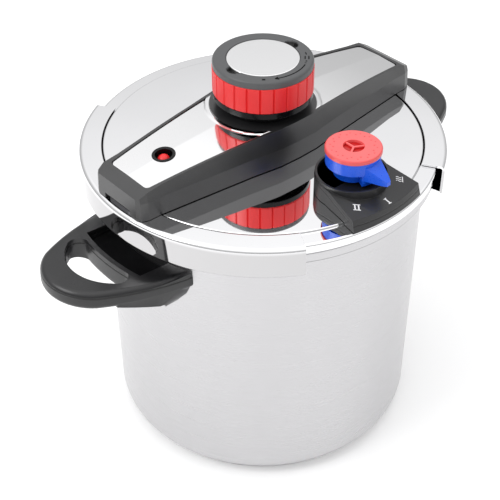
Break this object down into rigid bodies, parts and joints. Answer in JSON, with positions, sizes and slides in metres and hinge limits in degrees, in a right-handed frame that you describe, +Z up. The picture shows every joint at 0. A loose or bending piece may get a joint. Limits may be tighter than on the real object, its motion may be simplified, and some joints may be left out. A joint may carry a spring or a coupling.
{
  "type": "pressure canner",
  "caption": "Tall steel pressure pot with a jaw-clamped lid: a knob on a black bridge draws the jaws over the rim, with an operating valve, pressure indicator and side handles.",
  "frame": {"origin": "centre of the pot's foot, on the surface it stands on", "axes": "+Z up, +X along the bridge and the side handles, -Y towards the operating valve"},
  "size_m": [0.356, 0.24, 0.284],
  "materials": {
    "satin_steel": "satin",
    "mirror_steel": "mirror polished",
    "inlay_steel": "fine brushed",
    "plain_steel": "plain",
    "core_aluminium": "plain",
    "black_plastic": "fine textured",
    "red_plastic": "satin",
    "cap_red": "satin",
    "blue_plastic": "satin",
    "silicone": "smooth",
    "valve_brass": "turned"
  },
  "bodies": {
    "pot": {"pot_body": "satin_steel", "base_core": "core_aluminium", "base_cap": "satin_steel", "handle_bracket_left": "plain_steel", "handle_bracket_right": "plain_steel", "side_handle_left": "black_plastic", "side_handle_right": "black_plastic", "handle_screws": "plain_steel"},
    "lid": {"lid_shell": "mirror_steel", "lid_gasket": "silicone", "centre_stud": "plain_steel", "cam_washer": "plain_steel", "knob_washer": "plain_steel", "knob_nut": "plain_steel", "guide_bracket_left": "plain_steel", "guide_bracket_right": "plain_steel", "bridge_body": "black_plastic", "bridge_screws": "plain_steel", "inlay_plate_left": "inlay_steel", "inlay_plate_right": "inlay_steel", "window_bezel": "mirror_steel", "indicator_sleeve": "plain_steel", "indicator_nut": "plain_steel", "safety_plug": "silicone", "valve_body": "plain_steel", "valve_gasket": "silicone", "valve_nut": "valve_brass", "valve_filter": "plain_steel", "valve_housing": "black_plastic"},
    "knob": {"scroll_cam": "plain_steel", "knob_core": "black_plastic", "knob_grip_ring": "red_plastic", "knob_cap_ring": "black_plastic", "knob_disc": "inlay_steel"},
    "jaw_left_slider": {"jaw_left": "mirror_steel", "jaw_arm_left": "plain_steel", "jaw_pin_left": "plain_steel", "jaw_rivets_left": "plain_steel"},
    "jaw_right_slider": {"jaw_right": "mirror_steel", "jaw_arm_right": "plain_steel", "jaw_pin_right": "plain_steel", "jaw_rivets_right": "plain_steel"},
    "indicator": {"indicator_pin": "red_plastic"},
    "selector": {"selector_lever": "blue_plastic"},
    "cap": {"valve_cap": "cap_red"},
    "piston": {"valve_piston": "plain_steel", "valve_spring": "plain_steel"}
  },
  "joints": [
    {"name": "lid_lift", "type": "slide", "parent": "pot", "child": "lid", "axis": [0, 0, 1], "range_m": [0, 0.15]},
    {"name": "knob_turn", "type": "hinge", "parent": "lid", "child": "knob", "pos_m": [0, 0, 0.25], "axis": [0, 0, 1], "range_deg": [0, 90]},
    {"name": "jaw_left_slide", "type": "slide", "parent": "lid", "child": "jaw_left_slider", "axis": [-1, 0, 0], "range_m": [0, 0.0141]},
    {"name": "jaw_right_slide", "type": "slide", "parent": "lid", "child": "jaw_right_slider", "axis": [1, 0, 0], "range_m": [0, 0.0141]},
    {"name": "indicator_rise", "type": "slide", "parent": "lid", "child": "indicator", "axis": [0, 0, 1], "range_m": [0, 0.005]},
    {"name": "selector_turn", "type": "hinge", "parent": "lid", "child": "selector", "pos_m": [0, -0.0838, 0.247], "axis": [0, 0, 1], "range_deg": [-42, 42]},
    {"name": "cap_turn", "type": "hinge", "parent": "selector", "child": "cap", "pos_m": [0, -0.0838, 0.25], "axis": [0, 0, 1], "range_deg": [0, 60]},
    {"name": "piston_lift", "type": "slide", "parent": "lid", "child": "piston", "axis": [0, 0, 1], "range_m": [0, 0.0025], "stiffness_N_per_m": 800, "springref_m": -0.005, "deforming": ["valve_spring"]}
  ],
  "couplings": [
    {"joint": "jaw_left_slide", "follows": "knob_turn", "m_per_rad": 0.0089127},
    {"joint": "jaw_right_slide", "follows": "knob_turn", "m_per_rad": 0.0089127}
  ]
}
